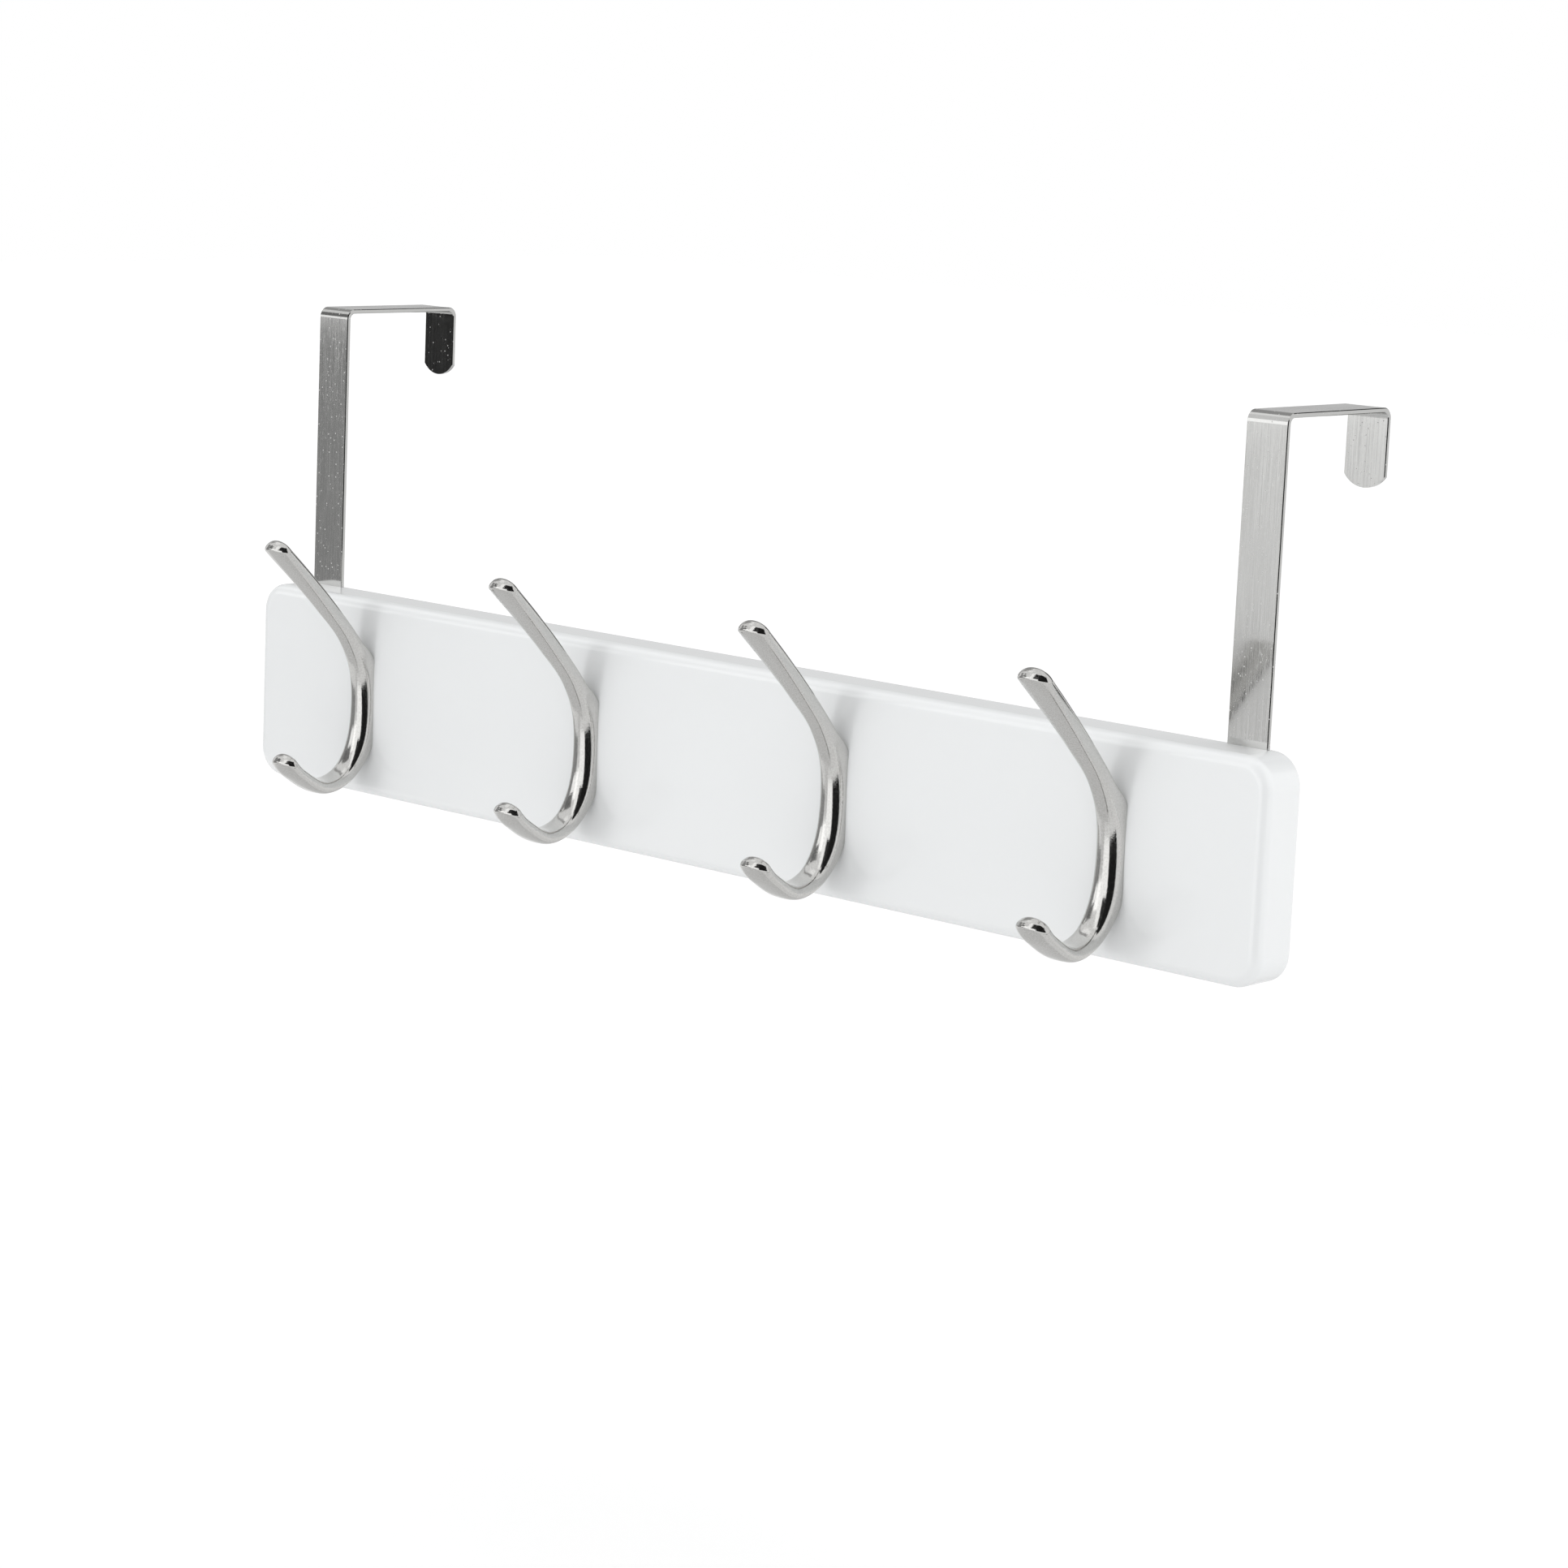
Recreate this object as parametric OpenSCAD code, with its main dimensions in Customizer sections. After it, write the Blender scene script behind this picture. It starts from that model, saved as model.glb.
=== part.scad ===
// Over door coat rack: a lacquered board that hangs from two folded steel straps and carries a
// row of four cast double hooks.
// The origin is the centre of the board's back face. X runs along the board, Z is up, the hooks
// stand out towards -Y and the door lies on the +Y side. All sizes are in millimetres.

/* [Board] */
// Length of the board
board_l = 450; // [360:5:600]
// Height of the board
board_h = 70; // [66:1:100]
// Thickness of the board
board_t = 16; // [15:0.5:22]
// Radius of the four corners seen from the front
corner_r = 10; // [6:0.5:16]
// Radius rounded onto the front edge
edge_r = 3.5; // [2:0.25:5]

/* [Straps] */
// Distance from each end of the board to the middle of its strap
strap_inset = 19; // [18:0.5:28]
// Width of the steel band
strap_w = 15; // [13:0.5:17]
// Thickness of the steel band
strap_t = 1.5; // [1.2:0.1:2]
// Thickest door that fits between the upright and the lip
door_gap = 50; // [35:1:60]
// Height of the strap's top above the board's top edge
strap_rise = 100; // [60:1:200]
// Length of the lip behind the door, from the strap's top
lip_l = 25; // [20:0.5:40]
// Inside radius of the two bends
bend_r = 2; // [1:0.25:4]
// Radius of the arc that ends the lip and the foot
tongue_r = 9; // [9:0.5:14]
// Length of the foot let into the board's back
foot_l = 48; // [40:1:50]
// Flat broken onto the band's sheared edges
band_break = 0.25; // [0.1:0.05:0.4]

/* [Hooks] */
// Distance from each end of the board to the middle of its outer hook
hook_inset = 56.25; // [45:0.25:70]
// Height of the middle of the hook's seat above the board's middle
seat_z = -1.5; // [-4:0.5:2]
// How far the upper prong stands out from the board
upper_reach = 43; // [30:0.5:55]
// Height of the upper prong's end above the seat
upper_rise = 58; // [45:0.5:70]
// How far the lower prong stands out from the board
lower_reach = 37.5; // [32:0.5:50]
// Depth of the lower prong's bow below the seat
lower_drop = 28.5; // [25:0.5:36]
// Width of the flared prong ends
tip_w = 12.6; // [10:0.1:15]
// Width of the slimmest part, above the seat
waist_w = 7.8; // [7.5:0.1:10]
// Thickness of the prong ends
tip_t = 4.8; // [3.6:0.1:6]
// Thickness of the root before the seat is cut flat
root_t = 9; // [8.6:0.1:10]
// Radius rounded onto the prong ends
tip_edge_r = 1.3; // [0.5:0.1:1.6]

/* [Fasteners] */
// Diameter of the hook screws
hook_screw_d = 4; // [3:0.5:4]
// Diameter of the hook screws' pan heads
pan_head_d = 7.5; // [6:0.5:9]
// Height of the pan heads
pan_head_h = 2.6; // [2:0.1:3]
// Depth of the counterbores that hide the pan heads
counterbore_depth = 3.4; // [3.2:0.1:6]
// Depth of the tapped holes in the hook's seat
tapped_depth = 4; // [3:0.1:4.2]
// Distance between the two screws of one hook
hook_screw_gap = 22; // [16:1:24]
// Diameter of the strap screws
strap_screw_d = 3.5; // [3:0.1:4]
// Diameter of the strap screws' countersunk heads
flat_head_d = 6.4; // [5.8:0.1:6.6]
// Length of the strap screws
strap_screw_l = 12.5; // [9:0.5:13]
// Distance between the two screws of one strap
strap_screw_gap = 24; // [18:1:26]

/* [Hidden] */
$fn = 64;

// Clearances
slot_clear = 0.2;      // beside the strap's foot in its slot
shank_clear = 0.3;     // round a hook screw in the board
thread_clear = 0.1;    // round a thread in its hole
head_clear = 0.8;      // round a pan head in its counterbore
sink_clear = 0.1;      // above a countersunk head, below the band's face
tip_clear = 0.4;       // beyond a screw's end
cut_over = 1;          // overrun of every cut past the face that it opens

// Derived places
board_top = board_h / 2;
strap_x = board_l / 2 - strap_inset;
strap_top = board_top + strap_rise;
slot_w = strap_w + 2 * slot_clear;
tongue_drop = tongue_r - sqrt(tongue_r * tongue_r - strap_w * strap_w / 4);
hook_count = 4;
hook_pitch = (board_l - 2 * hook_inset) / (hook_count - 1);
hook_xs = [for (i = [0 : hook_count - 1]) hook_inset - board_l / 2 + i * hook_pitch];
foot_screw_first = (foot_l - strap_screw_gap) / 2;
foot_screw_zs = [board_top - foot_screw_first, board_top - foot_screw_first - strap_screw_gap];
hook_screw_zs = [seat_z + hook_screw_gap / 2, seat_z - hook_screw_gap / 2];
drive_w = pan_head_d / 2;              // span of the cross recess
drive_slot = pan_head_d / 7;           // width of its arms
drive_depth = pan_head_h / 2;

// Turns what was drawn upright so that +Z points to the board's front, which is -Y
module facing_front() {
    rotate([90, 0, 0]) children();
}

// BOARD
// Section of the board's edge: `span` wide from the middle line, rounded at the front corner
module edge_section(span) {
    square([span, board_t - edge_r]);
    square([span - edge_r, board_t]);
    translate([span - edge_r, board_t - edge_r]) circle(edge_r);
}

module slab_section(span) {
    edge_section(span / 2);
    mirror([1, 0]) edge_section(span / 2);
}

module board_blank() {
    // full length, between the upper and lower corners
    translate([0, 0, corner_r - board_h / 2])
        linear_extrude(board_h - 2 * corner_r) mirror([0, 1]) slab_section(board_l);
    // full height, between the left and right corners
    translate([corner_r - board_l / 2, 0, 0])
        rotate([90, 0, 90]) linear_extrude(board_l - 2 * corner_r)
            rotate([0, 0, 90]) slab_section(board_h);
    for (sx = [-1, 1], sz = [-1, 1])
        translate([sx * (board_l / 2 - corner_r), 0, sz * (board_h / 2 - corner_r)])
            facing_front() rotate_extrude() edge_section(corner_r);
}

// Slot routed into the back for one strap's foot, as deep as the band is thick
module strap_slot() {
    slot_straight = foot_l - tongue_drop;
    translate([-slot_w / 2, -strap_t, board_top - slot_straight])
        cube([slot_w, strap_t + cut_over, slot_straight + cut_over]);
    translate([0, cut_over, board_top - slot_straight])
        facing_front() cylinder(h = strap_t + cut_over, d = slot_w);
}

module board() {
    color([0.93, 0.94, 0.94]) difference() {
        board_blank();
        for (side = [-1, 1]) translate([side * strap_x, 0, 0]) {
            strap_slot();
            for (z = foot_screw_zs) translate([0, 0, z]) facing_front()
                cylinder(h = strap_screw_l + tip_clear, d = strap_screw_d + 2 * thread_clear);
        }
        for (x = hook_xs, z = hook_screw_zs) translate([x, cut_over, z]) facing_front() {
            cylinder(h = board_t + 2 * cut_over, d = hook_screw_d + 2 * shank_clear);
            cylinder(h = counterbore_depth + cut_over, d = pan_head_d + 2 * head_clear);
        }
    }
}

// STRAPS
// Cross section of the band, from its door side inwards, with its sheared edges broken
module band_section() {
    w = strap_w / 2;
    b = band_break;
    polygon([[b - w, 0], [w - b, 0], [w, b], [w, strap_t - b],
             [w - b, strap_t], [b - w, strap_t], [-w, strap_t - b], [-w, b]]);
}

// A straight piece of band that starts at z = 0 and ends in a tongue at z = `run`
module tongued_band(run) {
    intersection() {
        linear_extrude(run) band_section();
        union() {
            translate([-strap_w, -cut_over, -cut_over])
                cube([2 * strap_w, strap_t + 2 * cut_over, run - tongue_drop + cut_over]);
            translate([0, -cut_over, run - tongue_r])
                rotate([-90, 0, 0]) cylinder(h = strap_t + 2 * cut_over, r = tongue_r);
        }
    }
}

// A quarter turn of the band about the X axis, from the upward to the +Y direction
module band_bend() {
    rotate([90, 0, 90]) rotate_extrude(angle = 90)
        translate([bend_r + strap_t, 0]) rotate([0, 0, 90]) band_section();
}

module strap() {
    bend_z = strap_top - strap_t - bend_r;
    // upright, with its foot let into the board
    translate([0, -strap_t, bend_z]) mirror([0, 0, 1])
        tongued_band(bend_z - board_top + foot_l);
    // front bend, bridge over the door, and rear bend
    translate([0, bend_r, bend_z]) rotate([90, 0, 0]) band_bend();
    translate([0, bend_r, strap_top]) rotate([-90, 0, 0])
        linear_extrude(door_gap - 2 * bend_r) band_section();
    translate([0, door_gap - bend_r, bend_z]) band_bend();
    // lip behind the door
    translate([0, door_gap, bend_z]) mirror([0, 0, 1])
        tongued_band(lip_l - strap_t - bend_r);
}

module drilled_strap() {
    sink_d = flat_head_d + 2 * (sink_clear + thread_clear);
    difference() {
        strap();
        // countersunk through the band
        for (z = foot_screw_zs) translate([0, 0, z]) facing_front() {
            cylinder(h = strap_t, d1 = sink_d, d2 = sink_d - 2 * strap_t);
            translate([0, 0, -cut_over]) cylinder(h = cut_over, d = sink_d);
            cylinder(h = strap_t + cut_over, d = sink_d - 2 * strap_t);
        }
    }
}

module strap_left() {
    color([0.62, 0.63, 0.62]) translate([-strap_x, 0, 0]) drilled_strap();
}

module strap_right() {
    color([0.62, 0.63, 0.62]) translate([strap_x, 0, 0]) drilled_strap();
}

// HOOKS
// Each hook is lofted through stations along a spine that runs from the upper prong's end, down
// past the seat, round the lower bow and up to the lower prong's end. A station has these shares:
// reach, rise, flare (0 waist, 1 tip), root (0 tip, 1 root), how square its section is on the
// inner and the outer side of the spine, as the power of a superellipse, and how much narrower
// than its middle the inner side is, which draws the ridge down the upper prong. The root is
// thick enough to run into the board, so that the seat ends in crisp corners when it is cut.
upper_station_shares = [
    [1.000, 1.000, 1.00,  0.00, 2.2, 2.2, 0.00],
    [0.704, 0.801, 0.47, -0.06, 4.0, 3.0, 0.05],
    [0.428, 0.599, 0.14, -0.08, 5.0, 3.4, 0.14],
    [0.184, 0.391, 0.05, -0.04, 4.5, 3.6, 0.28],
    [0.008, 0.155, 0.45,  1.00, 2.6, 4.0, 0.20]];
lower_station_shares = [
    [0.030, -0.403, 0.50, 0.68, 2.2, 3.8, 0.08],
    [0.222, -0.856, 0.40, 0.08, 2.6, 3.2, 0.00],
    [0.540, -1.000, 0.75, 0.02, 3.0, 2.8, 0.00],
    [0.850, -0.800, 1.00, 0.00, 2.7, 2.4, 0.00],
    [1.000, -0.610, 1.00, 0.00, 2.2, 2.2, 0.00]];

// Stations with real sizes: [reach, rise, width, thickness, inner power, outer power, taper]
function sized_station(share, reach, rise) = [
    share[0] * reach,
    share[1] * rise,
    waist_w + share[2] * (tip_w - waist_w),
    tip_t + share[3] * (root_t - tip_t),
    share[4],
    share[5],
    share[6]];
stations = concat(
    [for (share = upper_station_shares) sized_station(share, upper_reach, upper_rise)],
    [for (share = lower_station_shares) sized_station(share, lower_reach, lower_drop)]);

span_steps = 5;        // rings from one station to the next
ring_points = 32;      // points round one ring
end_steps = 3;         // rings that round a prong's end

// A smooth curve through every station; `part` runs from 0 to 1 between station i and the next
function smooth_between(a, b, c, d, part) =
    b + part * (c - a) / 2
      + part * part * (2 * a - 5 * b + 4 * c - d) / 2
      + part * part * part * (3 * b - a - 3 * c + d) / 2;
function station_at(i, part) = let (last = len(stations) - 1)
    smooth_between(
        i > 0 ? stations[i - 1] : 2 * stations[0] - stations[1],
        stations[i],
        stations[i + 1],
        i + 2 <= last ? stations[i + 2] : 2 * stations[last] - stations[last - 1],
        part);
spine = concat(
    [for (i = [0 : len(stations) - 2], step = [0 : span_steps - 1])
        station_at(i, step / span_steps)],
    [stations[len(stations) - 1]]);

// Unit direction of the spine at ring i
function spine_direction(i) = let (
    before = spine[max(i - 1, 0)],
    after = spine[min(i + 1, len(spine) - 1)],
    step = [after[0] - before[0], after[1] - before[1]])
    step / norm(step);

// One ring round the spine, `inset` smaller all round and moved `along` the spine
function powered(value, power) = sign(value) * pow(abs(value), 2 / power);
function ring(i, inset, along) = let (
    station = spine[i],
    toward = spine_direction(i),
    inner = [-toward[1], toward[0]])
    [for (k = [0 : ring_points - 1]) let (
        angle = 360 * k / ring_points,
        power = sin(angle) > 0 ? station[4] : station[5],
        side = powered(sin(angle), power),
        across = (station[2] / 2 - inset) * powered(cos(angle), power) * (1 - station[6] * side),
        depth = (station[3] / 2 - inset) * side,
        reach = station[0] + depth * inner[0] + along * toward[0],
        rise = station[1] + depth * inner[1] + along * toward[1])
        [across, -reach, rise]];

// The rings that round an end, from the outermost to the one before the full section
function end_rings(i, sense) = [for (step = [0 : end_steps - 1]) let (
    turn = 90 * (1 - step / end_steps))
    ring(i, tip_edge_r * (1 - cos(turn)), sense * tip_edge_r * sin(turn))];
function backwards(rows) = [for (i = [len(rows) - 1 : -1 : 0]) rows[i]];

module lofted_bar() {
    last = len(spine) - 1;
    rings = concat(
        end_rings(0, -1),
        [for (i = [0 : last]) ring(i, 0, 0)],
        backwards(end_rings(last, 1)));
    n = ring_points;
    ring_faces = [for (r = [0 : len(rings) - 2], k = [0 : n - 1], half = [0, 1]) let (
        a = r * n + k,
        b = r * n + (k + 1) % n)
        half == 0 ? [a, b + n, b] : [a, a + n, b + n]];
    end_faces = [
        [for (k = [0 : n - 1]) k],
        [for (k = [n - 1 : -1 : 0]) (len(rings) - 1) * n + k]];
    polyhedron(points = [for (r = rings, p = r) p], faces = concat(ring_faces, end_faces));
}

module hook(x) {
    seat_box = 2 * (upper_rise + lower_drop);
    color([0.72, 0.71, 0.69]) translate([x, -board_t, seat_z]) difference() {
        lofted_bar();
        // the seat is cut flat where it meets the board
        translate([-seat_box / 2, 0, -seat_box / 2]) cube(seat_box);
        for (z = hook_screw_zs) translate([0, cut_over, z - seat_z]) facing_front()
            cylinder(h = tapped_depth + cut_over, d = hook_screw_d + 2 * thread_clear);
    }
}

module hook_1() hook(hook_xs[0]);
module hook_2() hook(hook_xs[1]);
module hook_3() hook(hook_xs[2]);
module hook_4() hook(hook_xs[3]);

// FASTENERS
// Cross recess pressed into a screw head, opening at z = 0 and going down
module cross_recess(depth) {
    for (turn = [0, 90]) rotate([0, 0, turn])
        translate([-drive_w / 2, -drive_slot / 2, -cut_over])
            cube([drive_w, drive_slot, depth + cut_over]);
}

// Pan head screw, drawn with its head's top at z = 0 and its end upwards
module pan_screw() {
    shank_l = board_t - counterbore_depth + tapped_depth - tip_clear;
    head_round = pan_head_h / 2;
    point = hook_screw_d / 8;
    difference() {
        rotate_extrude() {
            difference() {
                union() {
                    translate([0, head_round]) square([pan_head_d / 2, pan_head_h - head_round]);
                    square([pan_head_d / 2 - head_round, pan_head_h]);
                    translate([pan_head_d / 2 - head_round, head_round]) circle(head_round);
                }
                translate([-pan_head_d, 0]) square([pan_head_d, pan_head_h]);
            }
            polygon([[0, pan_head_h], [hook_screw_d / 2, pan_head_h],
                     [hook_screw_d / 2, pan_head_h + shank_l - point],
                     [hook_screw_d / 2 - point, pan_head_h + shank_l],
                     [0, pan_head_h + shank_l]]);
        }
        cross_recess(drive_depth);
    }
}

// Countersunk wood screw, drawn with its head's top at z = 0 and its point upwards
module wood_screw() {
    head_r = flat_head_d / 2;
    shank_r = strap_screw_d / 2;
    cone = head_r - shank_r;
    point = strap_screw_d;
    difference() {
        rotate_extrude()
            polygon([[0, 0], [head_r, 0], [shank_r, cone], [shank_r, strap_screw_l - point],
                     [0, strap_screw_l]]);
        cross_recess(cone);
    }
}

module hook_screws() {
    color([0.75, 0.74, 0.7]) for (x = hook_xs, z = hook_screw_zs)
        translate([x, pan_head_h - counterbore_depth, z]) facing_front() pan_screw();
}

module strap_screws() {
    color([0.75, 0.74, 0.7]) for (side = [-1, 1], z = foot_screw_zs)
        translate([side * strap_x, -sink_clear, z]) facing_front() wood_screw();
}

board();
hook_1();
hook_2();
hook_3();
hook_4();
strap_left();
strap_right();
hook_screws();
strap_screws();
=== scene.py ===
# %% [markdown]
# Dressing an over-door coat rack
#
# The rack is a white lacquered board that hangs from two folded steel straps and carries four
# cast, plated double hooks. Its pieces come from an exact solid model at real size. This lesson
# gives them their finishes, casts the hooks again as smooth forms, and sets up a small studio.
#
# The solid model is loaded first, as a frame that is never moved or resized. Every other cell
# measures from it, so whatever is made here lands where the real piece sits. All lengths are in
# metres, so a small `MM` keeps them readable.

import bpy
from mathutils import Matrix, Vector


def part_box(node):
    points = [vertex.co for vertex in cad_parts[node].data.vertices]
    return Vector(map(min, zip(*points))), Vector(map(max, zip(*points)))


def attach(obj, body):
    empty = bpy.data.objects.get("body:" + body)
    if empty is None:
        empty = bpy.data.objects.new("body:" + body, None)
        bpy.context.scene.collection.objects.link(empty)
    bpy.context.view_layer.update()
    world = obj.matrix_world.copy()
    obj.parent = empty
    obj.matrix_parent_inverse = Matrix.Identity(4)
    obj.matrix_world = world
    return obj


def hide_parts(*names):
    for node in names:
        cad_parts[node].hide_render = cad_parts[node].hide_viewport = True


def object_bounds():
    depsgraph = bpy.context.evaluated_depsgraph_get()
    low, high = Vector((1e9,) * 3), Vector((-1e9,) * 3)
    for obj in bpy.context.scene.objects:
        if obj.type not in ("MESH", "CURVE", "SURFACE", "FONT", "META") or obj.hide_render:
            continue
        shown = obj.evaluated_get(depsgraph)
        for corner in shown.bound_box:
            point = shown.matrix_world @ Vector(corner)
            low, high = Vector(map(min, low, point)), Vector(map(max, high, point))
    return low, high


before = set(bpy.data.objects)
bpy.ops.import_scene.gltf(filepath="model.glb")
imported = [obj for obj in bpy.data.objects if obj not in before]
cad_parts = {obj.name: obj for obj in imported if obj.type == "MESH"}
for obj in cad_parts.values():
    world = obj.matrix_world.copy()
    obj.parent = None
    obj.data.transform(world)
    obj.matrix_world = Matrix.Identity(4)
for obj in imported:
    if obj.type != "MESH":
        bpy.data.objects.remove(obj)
cad_low, cad_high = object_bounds()
MM = 0.001
print("solid pieces:", sorted(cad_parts))
print("solid size in mm:", [round((b - a) / MM, 1) for a, b in zip(cad_low, cad_high)])

# %% [markdown]
# Helpers for the finishes
#
# Every finish is a surface shader with a few nodes that feed it, wired in the same way each
# time. One helper makes a material, one sets the plain values of its shader, and one hands out
# the two tools that the rest is built with: a maker of nodes and a joiner of nodes.

# %% Make materials and join nodes
import math

import bmesh
import bpy
import numpy as np
from mathutils import Matrix, Vector

scene = bpy.context.scene


def new_finish(name):
    """A material and its one surface shader."""
    material = bpy.data.materials.new(name)
    material.use_nodes = True
    surface = next(n for n in material.node_tree.nodes if n.type == "BSDF_PRINCIPLED")
    return material, surface


def set_surface(surface, **values):
    """Sets plain values on the surface shader: metallic=1, coat_weight=0.5 and so on."""
    for key, value in values.items():
        surface.inputs[key.replace("_", " ").title().replace("Ior", "IOR")].default_value = value


def node_tools(tree):
    """A maker of nodes for that tree, and a joiner of two of its nodes."""

    def add(kind, **values):
        node = tree.nodes.new("ShaderNode" + kind)
        for key, value in values.items():
            if key in node.inputs:
                node.inputs[key].default_value = value
            else:
                setattr(node, key, value)
        return node

    def join(source, target, outlet=0, inlet=0):
        tree.links.new(source.outputs[outlet], target.inputs[inlet])

    return add, join


# %% [markdown]
# Two kinds of node take several settings that only make sense together. One carries a range of
# numbers over to another range, such as a noise to a roughness. The other blends from one tone
# to another between two points.

# %% Make ranges and tones
RANGE_SOCKETS = ("From Min", "From Max", "To Min", "To Max")


def map_range(add, taken=(0.0, 1.0), made=(0.0, 1.0)):
    """A node that turns numbers between the two `taken` into numbers between the two `made`."""
    node = add("MapRange")
    for socket, value in zip(RANGE_SOCKETS, (*taken, *made)):
        node.inputs[socket].default_value = value
    return node


def tone_ramp(add, first, second, between=(0.0, 1.0)):
    """A node that goes from the first tone to the second between those two inputs."""
    node = add("ValToRGB")
    for stop, position, tone in zip(node.color_ramp.elements, between, (first, second)):
        stop.position = position
        stop.color = (*tone, 1)
    return node


# %% [markdown]
# The camera
#
# The picture to match looks at the rack from its right, a little from above, with the camera
# turned slightly about its own axis. A point of sight, a distance and three angles say all of
# that. The long lens keeps the board's far end almost as tall as its near end.

# %% Place the camera
CAMERA_AZIMUTH = 42.085
CAMERA_ELEVATION = 9.975
CAMERA_ROLL = 2.499
CAMERA_DISTANCE = 1.3774
CAMERA_AIM = Vector((0.01977, 0.0, -0.00447))
LENS_MM = 96.14
SENSOR_MM = 36


def from_angles(azimuth, elevation):
    """Unit vector that points back along a line of sight; azimuth 0 looks along +Y."""
    a, e = math.radians(azimuth), math.radians(elevation)
    return Vector((math.sin(a) * math.cos(e), -math.cos(a) * math.cos(e), math.sin(e)))


back = from_angles(CAMERA_AZIMUTH, CAMERA_ELEVATION)
level_right = (-back).cross(Vector((0, 0, 1))).normalized()
level_up = level_right.cross(-back)
roll = math.radians(CAMERA_ROLL)
camera_right = level_right * math.cos(roll) + level_up * math.sin(roll)
camera_up = level_up * math.cos(roll) - level_right * math.sin(roll)
turn = Matrix((camera_right, camera_up, back)).transposed()

camera = bpy.data.objects.new("camera", bpy.data.cameras.new("camera"))
scene.collection.objects.link(camera)
camera.matrix_world = Matrix.Translation(CAMERA_AIM + back * CAMERA_DISTANCE) @ turn.to_4x4()
camera.data.lens = LENS_MM
camera.data.sensor_width = SENSOR_MM
scene.camera = camera
print("camera at", [round(v, 3) for v in camera.location], "lens", LENS_MM, "mm")

# %% [markdown]
# A small studio
#
# White lacquer shows the light that falls on it, so its light is plain: a pale room gives most
# of it. A narrow soft box near the front, a little to the left, throws the hooks' faint shadows
# to the right. A broad one at the right brightens the board's end, and a weak one hangs
# overhead. The metal doesn't mirror them, because hard lamp edges would show in it.

# %% Light the rack
scene.view_settings.view_transform = "Standard"


def soft_box(name, azimuth, elevation, distance, width, height, watts):
    """A rectangular lamp that faces the rack from the given side."""
    data = bpy.data.lights.new(name, "AREA")
    data.shape = "RECTANGLE"
    data.size, data.size_y = width, height
    data.energy = watts
    lamp = bpy.data.objects.new(name, data)
    lamp.visible_glossy = False
    scene.collection.objects.link(lamp)
    toward = from_angles(azimuth, elevation)
    lamp.location = toward * distance
    lamp.rotation_mode = "QUATERNION"
    lamp.rotation_quaternion = (-toward).to_track_quat("-Z", "Y")
    print(name, watts, "W, at", [round(v, 2) for v in lamp.location])


soft_box("key_box", azimuth=-15, elevation=0, distance=1.9, width=0.4, height=0.9, watts=5.6)
soft_box("fill_box", azimuth=108, elevation=14, distance=2.2, width=1.6, height=1.8, watts=10.5)
soft_box("top_box", azimuth=10, elevation=78, distance=2.0, width=1.6, height=1.2, watts=7)

# %% [markdown]
# The room is white to the camera, a little dimmer to anything that mirrors it, and dimmer again
# as a light, so that the white board keeps its shape in front of it.

# %% Paint the room
ROOM_LIGHT = 0.84
ROOM_MIRRORED = 0.90
MIRROR_RAYS = ("Is Glossy Ray", "Is Transmission Ray")


def join_rays(add, join, rays, target, inlet):
    """Feeds the target 1 where the ray is one of those kinds, else 0."""
    path = add("LightPath")
    share, outlet = path, rays[0]
    for ray in rays[1:]:
        either = add("Math", operation="MAXIMUM")
        join(share, either, outlet=outlet)
        join(path, either, outlet=ray, inlet=1)
        share, outlet = either, 0
    join(share, target, outlet=outlet, inlet=inlet)


world = bpy.data.worlds.new("studio")
world.use_nodes = True
scene.world = world
add, join = node_tools(world.node_tree)
background = next(n for n in world.node_tree.nodes if n.type == "BACKGROUND")
background.inputs["Color"].default_value = (1, 1, 1, 1)
indirect = map_range(add, made=(ROOM_LIGHT, ROOM_MIRRORED))
join_rays(add, join, MIRROR_RAYS, indirect, inlet="Value")
strength = map_range(add)
join_rays(add, join, ("Is Camera Ray",), strength, inlet="Value")
join(indirect, strength, inlet="To Min")
join(strength, background, inlet="Strength")
print("room: 1 to the camera,", ROOM_MIRRORED, "in a mirror,", ROOM_LIGHT, "as a light")

# %% [markdown]
# The floor lies well below the rack, which hangs from a door in use. It is lit like any floor
# and takes the rack's soft shadow. A glow that lights nothing lifts it to the white of the
# backdrop, and grows away from the rack, where the lamps no longer reach.

# %% Lay the floor
FLOOR_DROP = 0.30
FLOOR_SIZE = 14.0
FLOOR_GREY = 0.86
GLOW_NEAR, GLOW_FAR = 0.12, 0.32
GLOW_REACH = 3.0


def stage_sheet(name, points, faces):
    """A mesh that isn't part of the rack."""
    mesh = bpy.data.meshes.new(name)
    mesh.from_pydata(points, [], faces)
    sheet = bpy.data.objects.new(name, mesh)
    scene.collection.objects.link(sheet)
    return sheet


def floor_paint():
    """Pale matt paint with a glow that is seen but lights nothing."""
    paint, surface = new_finish("pale_floor")
    add, join = node_tools(paint.node_tree)
    set_surface(surface, base_color=(FLOOR_GREY, FLOOR_GREY, FLOOR_GREY, 1), roughness=0.9,
                emission_color=(1, 1, 1, 1))
    place = add("TexCoord")
    away = add("VectorMath", operation="LENGTH")
    join(place, away, outlet="Object")
    rise = map_range(add, taken=(0.0, GLOW_REACH), made=(GLOW_NEAR, GLOW_FAR))
    join(away, rise, outlet="Value")
    glow = add("Math", operation="MULTIPLY")
    join(rise, glow)
    join_rays(add, join, ("Is Camera Ray", *MIRROR_RAYS), glow, inlet=1)
    join(glow, surface, inlet="Emission Strength")
    return paint


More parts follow.
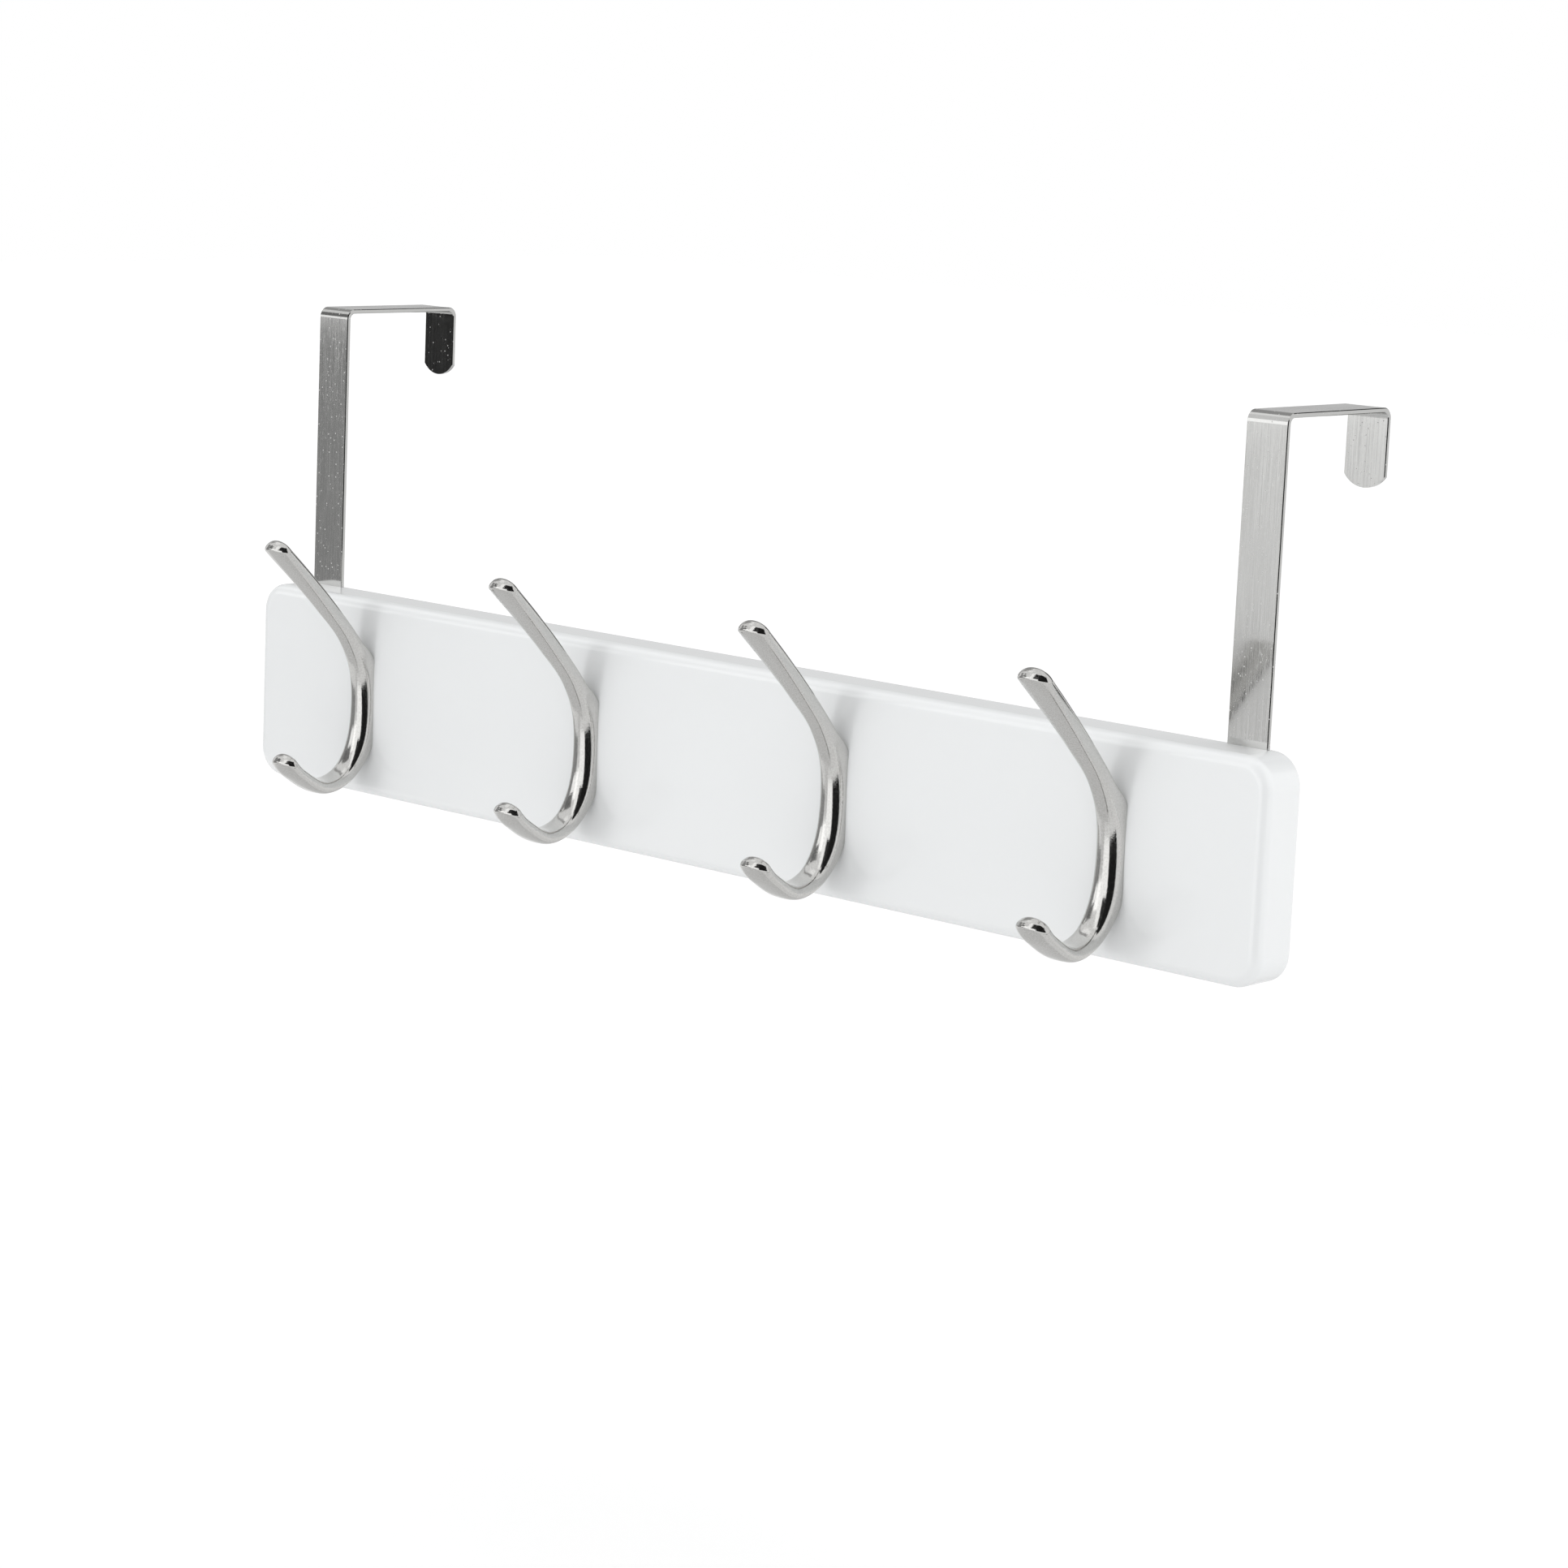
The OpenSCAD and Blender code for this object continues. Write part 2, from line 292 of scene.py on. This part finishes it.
half, level = FLOOR_SIZE / 2, cad_low.z - FLOOR_DROP
floor = stage_sheet("floor", [(-half, -half, level), (half, -half, level),
                              (half, half, level), (-half, half, level)], [(0, 1, 2, 3)])
floor.visible_glossy = False
floor.data.materials.append(floor_paint())
print("floor lies", round(FLOOR_DROP / MM), "mm below the rack")

# %% [markdown]
# Bright metal has no colour of its own to speak of: it shows the room. In an all-white room it
# would vanish, so a photographer hangs dark and bright cards out of the picture. These do the
# same, and only the metal sees them. Where one covers another, it hangs a little nearer.

# %% Bend a card round the rack
CARD_AWAY = 2.6
NEAR_CARD_AWAY = 2.5
CARD_STEP = 6


def mirrored_only(sheet, brightness):
    """Paints a sheet evenly and hides it from all but mirror rays."""
    sheet.visible_camera = sheet.visible_diffuse = sheet.visible_shadow = False
    sheet.visible_transmission = sheet.visible_volume_scatter = False
    paint, surface = new_finish(sheet.name + "_paint")
    set_surface(surface, base_color=(0, 0, 0, 1), roughness=1.0, specular_ior_level=0.0,
                emission_color=(brightness, brightness, brightness, 1), emission_strength=1.0)
    sheet.data.materials.append(paint)
    print(sheet.name, "shines at", brightness)


def card(name, azimuths, elevations, brightness, away=CARD_AWAY):
    """A card bent round the rack between those angles."""
    across = np.linspace(*azimuths, max(2, round(abs(azimuths[1] - azimuths[0]) / CARD_STEP)))
    upward = np.linspace(*elevations, max(2, round((elevations[1] - elevations[0]) / CARD_STEP)))
    points = [from_angles(a, e) * away for a in across for e in upward]
    n = len(upward)
    faces = [(i * n + j, i * n + j + 1, (i + 1) * n + j + 1, (i + 1) * n + j)
             for i in range(len(across) - 1) for j in range(n - 1)]
    mirrored_only(stage_sheet(name, points, faces), brightness)


# %% [markdown]
# The cards in front come first. The dark one behind and beside the camera draws the black
# streak down each hook's bow, and its ceiling makes the streak wider below. The white one at
# its left draws the bright line beside the streak.

# %% Hang the front cards
card("dark_room", azimuths=(13, 66), elevations=(-19, 70), brightness=0.015)
card("dark_ceiling", azimuths=(-8, 13), elevations=(14, 58), brightness=0.03,
     away=NEAR_CARD_AWAY)
card("white_card", azimuths=(-30, 13), elevations=(-19, 60), brightness=1.3)

# %% [markdown]
# The straps are flat, so each mirrors only a few degrees of the room. The left strap shows the
# grey wall, and the right one, seen a little more from the front, shows the paler wall beside
# it. Two rails higher up put a bright line on the bends at the top, and a shade above the left
# rail ends that strap's line.

# %% Hang the left cards
card("grey_wall", azimuths=(-90, -47.8), elevations=(-14, 26), brightness=0.315)
card("low_wall", azimuths=(-47.8, -30), elevations=(-30, -6), brightness=0.76)
card("white_rail", azimuths=(-44, -30), elevations=(-1.6, 24), brightness=1.6)
card("left_rail", azimuths=(-62, -46), elevations=(-0.4, 14), brightness=1.3,
     away=NEAR_CARD_AWAY)
card("left_shade", azimuths=(-70, -46), elevations=(14, 34), brightness=0.20,
     away=NEAR_CARD_AWAY)

# %% [markdown]
# The rest is seen by faces that look up, down or back: a bright card high at the left for the
# prongs' ends, two walls behind for the tops of the straps and the backs of the hooks, a dark
# edge behind that outlines the hooks, and a floor that dims the undersides.

# %% Hang the high, back and floor cards
card("high_card", azimuths=(-92, -60), elevations=(50, 66), brightness=1.15)
card("back_wall", azimuths=(-175, -100), elevations=(0, 26), brightness=0.56)
card("back_high", azimuths=(-175, -92), elevations=(26, 62), brightness=0.40)
card("back_edge", azimuths=(150, 184), elevations=(2, 60), brightness=0.05)
card("floor_left", azimuths=(-180, 0), elevations=(-88, -30), brightness=0.70)
card("floor_right", azimuths=(0, 180), elevations=(-88, -30), brightness=0.84)

# %% [markdown]
# The left strap's lip shows black, though the strap in front of it shows grey. A small black
# flag between the two does that.

# %% Hang the flag
FLAG_BEFORE_LIP = 22 * MM
FLAG_LEFT_OF_LIP = 20 * MM
FLAG_BELOW_TOP = 4 * MM
FLAG_WIDTH = 34 * MM
FLAG_HEIGHT = 50 * MM
FLAG_BRIGHTNESS = 0.03
strap_low, strap_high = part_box("strap_left")
flag_y = strap_high.y - FLAG_BEFORE_LIP
flag_middle = (strap_low.x + strap_high.x) / 2 - FLAG_LEFT_OF_LIP
left, right = flag_middle - FLAG_WIDTH / 2, flag_middle + FLAG_WIDTH / 2
top = strap_high.z - FLAG_BELOW_TOP
bottom = top - FLAG_HEIGHT
flag = stage_sheet("black_flag", [(left, flag_y, bottom), (right, flag_y, bottom),
                                  (right, flag_y, top), (left, flag_y, top)], [(0, 1, 2, 3)])
mirrored_only(flag, FLAG_BRIGHTNESS)

# %% [markdown]
# White lacquer
#
# The board is a fibre board under sprayed gloss lacquer. Sprayed lacquer is never quite flat:
# it dries with a faint skin of low waves, which the eye reads as real paint. A clear coat over
# a slightly rough white gives the soft mirror. A slow noise clouds the white a little, and a
# finer one gives the waves.

# %% Lacquer the board
LACQUER_GREY = (0.812, 0.826, 0.832)
LACQUER_WHITE = (0.832, 0.846, 0.851)


def lacquer():
    """Clouded white under a clear coat, with the low waves of a sprayed skin."""
    material, surface = new_finish("white_lacquer")
    add, join = node_tools(material.node_tree)
    set_surface(surface, roughness=0.32, coat_weight=0.7, coat_roughness=0.09, ior=1.48)
    place = add("TexCoord")
    cloud = add("TexNoise", Scale=9.0, Detail=3.0)
    join(place, cloud, outlet="Object", inlet="Vector")
    tone = tone_ramp(add, LACQUER_GREY, LACQUER_WHITE, between=(0.3, 0.7))
    join(cloud, tone)
    join(tone, surface, inlet="Base Color")
    waves = add("TexNoise", Scale=260.0, Detail=2.0)
    join(place, waves, outlet="Object", inlet="Vector")
    skin = add("Bump", Strength=0.12, Distance=0.03 * MM)
    join(waves, skin, inlet="Height")
    join(skin, surface, inlet="Normal")
    join(skin, surface, inlet="Coat Normal")
    return material


def finish_node(name, material):
    """Gives a solid of the frame its finish, in place of the plain one that it came with."""
    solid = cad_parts[name]
    solid.data.materials.clear()
    solid.data.materials.append(material)
    print(name, "is finished in", material.name)


finish_node("board", lacquer())

# %% [markdown]
# Brushed steel band
#
# Each strap is one length of steel band, brushed along its length before it was bent. The
# scratches run up the strap, over the door and down the lip, so the noise that makes them is
# fine across the band, along X, and drawn out along Y and Z. Fine scratches spread a mirror
# image sideways, which is what an anisotropic gloss does. Some scratches are duller than the
# rest, and short dull strokes lie between them.
#
# Bits of polishing dust and tiny pits stay on the steel. They mirror nothing and are lit like
# paint, so they look pale where the band mirrors something dark, and hardly show elsewhere.

# %% Brush the straps
STEEL_DARK = (0.555, 0.555, 0.545)
STEEL_PALE = (0.59, 0.59, 0.58)
SPECK_GREY = (0.58, 0.58, 0.57)
SPECK_EDGE, SPECK_HEART = 0.155, 0.075
LONG_STROKE, SHORT_STROKE = 0.012, 0.15


def brushed_noise(add, join, place, stroke, **values):
    """Noise that is drawn out along the band; a smaller `stroke` makes longer scratches."""
    drawn_out = add("Mapping", Scale=(1.0, stroke, stroke))
    join(place, drawn_out, outlet="Object", inlet="Vector")
    noise = add("TexNoise", **values)
    join(drawn_out, noise, inlet="Vector")
    return noise


def band_steel():
    """Brushed steel with specks of dust, which are matt and not metallic."""
    material, surface = new_finish("brushed_band")
    add, join = node_tools(material.node_tree)
    set_surface(surface, anisotropic=0.5)
    place = add("TexCoord")
    scratch = brushed_noise(add, join, place, LONG_STROKE, Scale=2600.0, Detail=4.0, Roughness=0.7)
    stroke = brushed_noise(add, join, place, SHORT_STROKE, Scale=3200.0, Detail=2.0)
    pits = add("TexVoronoi", Scale=530.0)
    join(place, pits, outlet="Object", inlet="Vector")
    speck = map_range(add, taken=(SPECK_EDGE, SPECK_HEART))
    join(pits, speck, outlet="Distance", inlet="Value")

    tone = tone_ramp(add, STEEL_DARK, STEEL_PALE, between=(0.25, 0.75))
    join(scratch, tone)
    pale = add("MixRGB", Color2=(*SPECK_GREY, 1))
    join(speck, pale)
    join(tone, pale, inlet="Color1")
    join(pale, surface, inlet="Base Color")
    metal = map_range(add, made=(1.0, 0.0))
    join(speck, metal)
    join(metal, surface, inlet="Metallic")

    rough = map_range(add, taken=(0.42, 0.70), made=(0.07, 0.20))
    join(scratch, rough)
    dull = map_range(add, taken=(0.50, 0.85), made=(0.0, 0.36))
    join(stroke, dull)
    for layer in (dull, speck):
        rougher = add("Math", operation="MAXIMUM")
        join(rough, rougher)
        join(layer, rougher, inlet=1)
        rough = rougher
    join(rough, surface, inlet="Roughness")

    relief = add("Bump", Strength=0.06, Distance=0.02 * MM)
    join(scratch, relief, inlet="Height")
    join(relief, surface, inlet="Normal")
    return material


steel = band_steel()
for side in ("left", "right"):
    finish_node("strap_" + side, steel)

# %% [markdown]
# Zinc-plated screws
#
# All screws go in from the back, eight into the hooks and four through the straps' feet into
# the board. Their zinc plating is a little cloudy, so a soft noise moves its tone and gloss.

# %% Plate the screws
ZINC_DARK = (0.56, 0.56, 0.55)
ZINC_PALE = (0.74, 0.74, 0.72)


def zinc():
    """Cloudy zinc plating."""
    material, surface = new_finish("zinc_plate")
    add, join = node_tools(material.node_tree)
    set_surface(surface, metallic=1.0)
    place = add("TexCoord")
    cloud = add("TexNoise", Scale=900.0, Detail=3.0)
    join(place, cloud, outlet="Object", inlet="Vector")
    tone = tone_ramp(add, ZINC_DARK, ZINC_PALE)
    join(cloud, tone)
    join(tone, surface, inlet="Base Color")
    dull = map_range(add, made=(0.22, 0.42))
    join(cloud, dull)
    join(dull, surface, inlet="Roughness")
    return material


plating = zinc()
for group in ("hook_screws", "strap_screws"):
    finish_node(group, plating)

# %% [markdown]
# The cast hooks
#
# A hook is one zinc casting: a bar that starts at the upper prong's end, slims as it comes
# down, lies flat against the board, bows round and flares again at the lower prong's end. The
# form is a loft. Stations along the bar say how far it stands out, how high it is, how wide
# and thick its section is, how square each side of the section is, and how much narrower the
# inner side is. A smooth curve through the stations gives as many sections as a mirror finish
# needs.

# %% Stations of the casting
BOARD_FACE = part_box("board")[0].y
SEAT_Z = -1.5 * MM
UPPER_REACH = 43 * MM
UPPER_RISE = 58 * MM
LOWER_REACH = 37.5 * MM
LOWER_DROP = 28.5 * MM
TIP_WIDTH = 12.6 * MM
WAIST_WIDTH = 7.8 * MM
TIP_THICK = 4.8 * MM
ROOT_THICK = 9 * MM
TIP_ROUND = 1.3 * MM

# reach, rise, flare from waist to tip, bulk from tip to root, inner power, outer power, taper
UPPER_SHARES = [
    (1.00, 1.000, 1.00, 0.00, 2.2, 2.2, 0.00),
    (0.704, 0.801, 0.47, -0.06, 4.0, 3.0, 0.05),
    (0.428, 0.599, 0.14, -0.08, 5.0, 3.4, 0.14),
    (0.184, 0.391, 0.05, -0.04, 4.5, 3.6, 0.28),
    (0.008, 0.155, 0.45, 1.00, 2.6, 4.0, 0.20)]
LOWER_SHARES = [
    (0.030, -0.403, 0.50, 0.68, 2.2, 3.8, 0.08),
    (0.222, -0.856, 0.40, 0.08, 2.6, 3.2, 0.00),
    (0.540, -1.00, 0.75, 0.02, 3.0, 2.8, 0.00),
    (0.850, -0.80, 1.00, 0.00, 2.7, 2.4, 0.00),
    (1.000, -0.61, 1.00, 0.00, 2.2, 2.2, 0.00)]


def sized(shares, reach, rise):
    """One station with real sizes."""
    out, up, flare, bulk, inner, outer, taper = shares
    return (out * reach, up * rise, WAIST_WIDTH + flare * (TIP_WIDTH - WAIST_WIDTH),
            TIP_THICK + bulk * (ROOT_THICK - TIP_THICK), inner, outer, taper)


stations = np.array([sized(s, UPPER_REACH, UPPER_RISE) for s in UPPER_SHARES]
                    + [sized(s, LOWER_REACH, LOWER_DROP) for s in LOWER_SHARES])
hook_low, hook_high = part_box("hook_1")
print("stations:", len(stations), "hook spans", round((hook_high.z - hook_low.z) / MM, 1), "mm")

# %% [markdown]
# The curve passes through every station and bends smoothly between them, like a thin strip of
# wood bent round pins. Its two ends are carried on in a straight line.

# %% Draw the spine
SPAN_STEPS = 14


def smooth_spine(rows, steps):
    """A smooth curve through all rows, with `steps` points from each row to the next."""
    ends = np.vstack([2 * rows[0] - rows[1], rows, 2 * rows[-1] - rows[-2]])
    points = []
    for before, here, there, after in zip(ends, ends[1:], ends[2:], ends[3:]):
        for part in np.arange(steps) / steps:
            points.append(here + part * (there - before) / 2
                          + part ** 2 * (2 * before - 5 * here + 4 * there - after) / 2
                          + part ** 3 * (3 * here - before - 3 * there + after) / 2)
    return np.array(points + [rows[-1]])


spine = smooth_spine(stations, SPAN_STEPS)
heading = np.gradient(spine[:, :2], axis=0)
heading /= np.linalg.norm(heading, axis=1)[:, None]
print("sections along a hook:", len(spine))

# %% [markdown]
# A section is a squared oval. Its corners tighten as its power grows, which draws the crisp
# ridge that runs down the upper prong. A taper makes the inner side, which faces the room,
# narrower than the side that faces the board, so that the mould could be drawn off. Towards
# each end the sections curve back at their sides, which crowns the prong's end across its
# width. The solid model leaves that end flat.

# %% Make the sections
RING_POINTS = 88
TIP_CROWN = 2.4 * MM
CROWN_SECTIONS = 7
NEARLY_ZERO = 1e-9


def crown(i, across):
    """How far the points of section i lie back from a flat end, along the bar."""
    to_start, to_end = i, len(spine) - 1 - i
    near = max(0.0, 1 - min(to_start, to_end) / CROWN_SECTIONS)
    sense = 1 if to_start < to_end else -1
    return sense * TIP_CROWN * near ** 2 * (across / (TIP_WIDTH / 2)) ** 2


def section(i, inset=0.0, along=0.0):
    """Points of the section at spine point i, smaller by `inset` and moved `along` the bar."""
    reach, rise, width, thick, inner, outer, taper = spine[i]
    angle = np.arange(RING_POINTS) * 2 * math.pi / RING_POINTS
    power = np.where(np.sin(angle) > NEARLY_ZERO, inner, outer)
    squared = [np.sign(v) * np.abs(v) ** (2 / power) for v in (np.cos(angle), np.sin(angle))]
    across = (width / 2 - inset) * squared[0] * (1 - taper * squared[1])
    depth = (thick / 2 - inset) * squared[1]
    along = along + crown(i, across)
    toward = heading[i]
    return np.stack([across,
                     -(reach - depth * toward[1] + along * toward[0]),
                     rise + depth * toward[0] + along * toward[1]], 1)


# %% [markdown]
# Each end is closed in two steps. The rim is rounded by sections that shrink along a quarter
# turn, so it catches a thin highlight. Inside the rim, smaller and smaller sections make a face
# that bulges a little.

# %% Close the ends
RIM_STEPS = 7
FACE_STEPS = 5
RIM_SHARE = 0.88
FACE_CLOSED = 0.999


def end_sections(i, sense):
    """Sections that close an end, from the middle of its face out to the full section."""
    half = spine[i][3] / 2
    rows = []
    for step in range(FACE_STEPS):
        part = step / FACE_STEPS
        inset = half * FACE_CLOSED * (1 - part) + TIP_ROUND * part
        bulge = RIM_SHARE + (1 - RIM_SHARE) * (1 - part ** 2)
        rows.append(section(i, inset, sense * TIP_ROUND * bulge))
    for step in range(RIM_STEPS):
        turned = math.radians(90 * (1 - step / RIM_STEPS))
        rows.append(section(i, TIP_ROUND * (1 - math.cos(turned)),
                            sense * TIP_ROUND * RIM_SHARE * math.sin(turned)))
    return rows


last = len(spine) - 1
sections = np.array(end_sections(0, -1) + [section(i) for i in range(last + 1)]
                    + end_sections(last, 1)[::-1])
print("sections with ends:", len(sections))

# %% [markdown]
# The loft is skinned with four-sided faces and cut flat where it seats on the board. Cutting
# the mesh with a plane, rather than pressing its points onto it, leaves a clean sharp edge all
# round the seat.

# %% Skin one hook
SHARP_ANGLE = math.radians(38)
MERGE_WITHIN = 0.002 * MM


def hook_mesh(name, x):
    """The casting as a mesh, with its seat on the board at that place along it."""
    mesh = bmesh.new()
    shift = Vector((x, BOARD_FACE, SEAT_Z))
    rings = [[mesh.verts.new(Vector(p) + shift) for p in ring] for ring in sections]
    for low, high in zip(rings, rings[1:]):
        for k in range(RING_POINTS):
            n = (k + 1) % RING_POINTS
            mesh.faces.new((low[k], low[n], high[n], high[k]))
    mesh.faces.new(rings[0][::-1])
    mesh.faces.new(rings[-1])
    bmesh.ops.remove_doubles(mesh, verts=mesh.verts, dist=MERGE_WITHIN)
    bmesh.ops.bisect_plane(mesh, geom=mesh.verts[:] + mesh.edges[:] + mesh.faces[:],
                           plane_co=(0, BOARD_FACE, 0), plane_no=(0, 1, 0), clear_outer=True)
    rim = [e for e in mesh.edges if e.is_boundary]
    bmesh.ops.holes_fill(mesh, edges=rim)
    bmesh.ops.recalc_face_normals(mesh, faces=mesh.faces)
    for face in mesh.faces:
        face.smooth = True
    data = bpy.data.meshes.new(name)
    mesh.to_mesh(data)
    mesh.free()
    data.set_sharp_from_angle(angle=SHARP_ANGLE)
    return data


# %% [markdown]
# Bright nickel plate
#
# The casting is polished by hand and plated, so it is a mirror with a memory of the mould: low
# waves bend the reflections, and a fine grain frays their edges and moves the gloss.

# %% Make the plate
NICKEL_DARK = (0.56, 0.555, 0.54)
NICKEL_PALE = (0.68, 0.675, 0.66)


def plate():
    """Bright plating over low waves and a fine grain."""
    material, surface = new_finish("nickel_plate")
    add, join = node_tools(material.node_tree)
    set_surface(surface, metallic=1.0)
    place = add("TexCoord")
    grain = add("TexNoise", Scale=2400.0, Detail=3.0)
    join(place, grain, outlet="Object", inlet="Vector")
    tone = tone_ramp(add, NICKEL_DARK, NICKEL_PALE, between=(0.3, 0.7))
    join(grain, tone)
    join(tone, surface, inlet="Base Color")
    dull = map_range(add, taken=(0.35, 0.75), made=(0.05, 0.20))
    join(grain, dull)
    join(dull, surface, inlet="Roughness")
    waves = add("TexNoise", Scale=160.0, Detail=1.5)
    join(place, waves, outlet="Object", inlet="Vector")
    bend = add("Bump", Strength=0.2, Distance=0.08 * MM)
    join(waves, bend, inlet="Height")
    fray = add("Bump", Strength=0.5, Distance=0.03 * MM)
    join(grain, fray, inlet="Height")
    join(bend, fray, inlet="Normal")
    join(fray, surface, inlet="Normal")
    return material


# %% Cast the four hooks
nickel = plate()
for number in (1, 2, 3, 4):
    node = f"hook_{number}"
    low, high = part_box(node)
    cast = bpy.data.objects.new(f"cast_hook_{number}", hook_mesh(node, (low.x + high.x) / 2))
    scene.collection.objects.link(cast)
    cast.data.materials.append(nickel)
    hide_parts(node)
    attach(cast, "root")
    print(cast.name, "faces:", len(cast.data.polygons))
